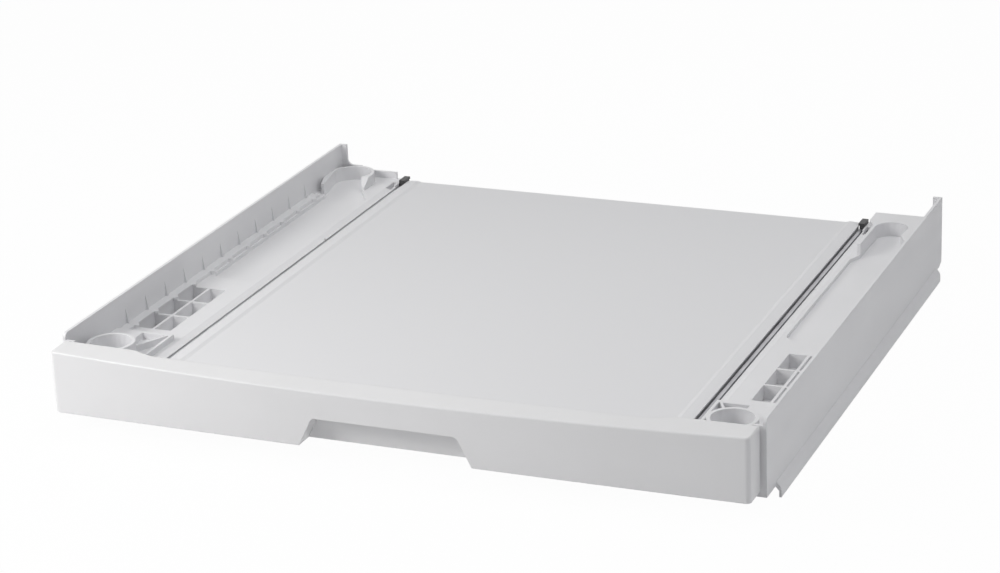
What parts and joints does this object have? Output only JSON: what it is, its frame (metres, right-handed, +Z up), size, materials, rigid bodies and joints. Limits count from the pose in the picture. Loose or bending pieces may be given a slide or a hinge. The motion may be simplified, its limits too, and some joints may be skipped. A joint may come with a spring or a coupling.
{
  "type": "washer dryer stacking kit",
  "caption": "White moulded stacking kit: two side frames with foot wells and skirts, joined by steel rails, and a flat pull-out shelf with a hollow drawer front on ball bearing slides.",
  "frame": {"origin": "on the floor plane under the middle of the closed kit's bounding box", "axes": "+X to the right seen from the front, +Y to the back, +Z up; the shelf pulls out along -Y"},
  "size_m": [0.6034, 0.552, 0.0725],
  "materials": {
    "white_plastic": "satin moulded white",
    "shelf_white": "fine textured white",
    "zinc_steel": "zinc plated",
    "bearing_steel": "polished",
    "black_steel": "black powder coat",
    "screw_steel": "zinc plated",
    "black_rubber": "matt",
    "cage_steel": "plain"
  },
  "bodies": {
    "frames": {"left_frame": "white_plastic", "right_frame": "white_plastic", "base_pads": "black_rubber", "front_cross_rail": "zinc_steel", "rear_cross_rail": "zinc_steel", "rail_screws": "screw_steel", "left_slide_outer": "zinc_steel", "right_slide_outer": "zinc_steel", "frame_screws": "screw_steel", "left_rear_hook": "black_steel", "right_rear_hook": "black_steel"},
    "shelf": {"shelf_panel": "shelf_white", "shelf_stiffeners": "zinc_steel", "stiffener_screws": "screw_steel", "left_slide_inner": "zinc_steel", "right_slide_inner": "zinc_steel", "shelf_screws": "screw_steel", "fascia": "white_plastic", "fascia_back": "white_plastic", "grip_liner": "white_plastic", "fascia_screws": "screw_steel", "fascia_bumpers": "black_rubber"},
    "right_middle_member": {"right_slide_middle": "zinc_steel"},
    "right_outer_ball_cage": {"right_outer_cage": "cage_steel", "right_outer_balls": "bearing_steel"},
    "right_inner_ball_cage": {"right_inner_cage": "cage_steel", "right_inner_balls": "bearing_steel"},
    "left_middle_member": {"left_slide_middle": "zinc_steel"},
    "left_outer_ball_cage": {"left_outer_cage": "cage_steel", "left_outer_balls": "bearing_steel"},
    "left_inner_ball_cage": {"left_inner_cage": "cage_steel", "left_inner_balls": "bearing_steel"}
  },
  "joints": [
    {"name": "shelf_slide", "type": "slide", "parent": "frames", "child": "shelf", "axis": [0, -1, 0], "range_m": [0, 0.35]},
    {"name": "right_middle_member_slide", "type": "slide", "parent": "frames", "child": "right_middle_member", "axis": [0, -1, 0], "range_m": [0, 0.175]},
    {"name": "right_outer_ball_cage_slide", "type": "slide", "parent": "frames", "child": "right_outer_ball_cage", "axis": [0, -1, 0], "range_m": [0, 0.0875]},
    {"name": "right_inner_ball_cage_slide", "type": "slide", "parent": "frames", "child": "right_inner_ball_cage", "axis": [0, -1, 0], "range_m": [0, 0.2625]},
    {"name": "left_middle_member_slide", "type": "slide", "parent": "frames", "child": "left_middle_member", "axis": [0, -1, 0], "range_m": [0, 0.175]},
    {"name": "left_outer_ball_cage_slide", "type": "slide", "parent": "frames", "child": "left_outer_ball_cage", "axis": [0, -1, 0], "range_m": [0, 0.0875]},
    {"name": "left_inner_ball_cage_slide", "type": "slide", "parent": "frames", "child": "left_inner_ball_cage", "axis": [0, -1, 0], "range_m": [0, 0.2625]}
  ],
  "couplings": [
    {"joint": "right_middle_member_slide", "follows": "shelf_slide", "ratio": 0.5},
    {"joint": "right_outer_ball_cage_slide", "follows": "shelf_slide", "ratio": 0.25},
    {"joint": "right_inner_ball_cage_slide", "follows": "shelf_slide", "ratio": 0.75},
    {"joint": "left_middle_member_slide", "follows": "shelf_slide", "ratio": 0.5},
    {"joint": "left_outer_ball_cage_slide", "follows": "shelf_slide", "ratio": 0.25},
    {"joint": "left_inner_ball_cage_slide", "follows": "shelf_slide", "ratio": 0.75}
  ]
}
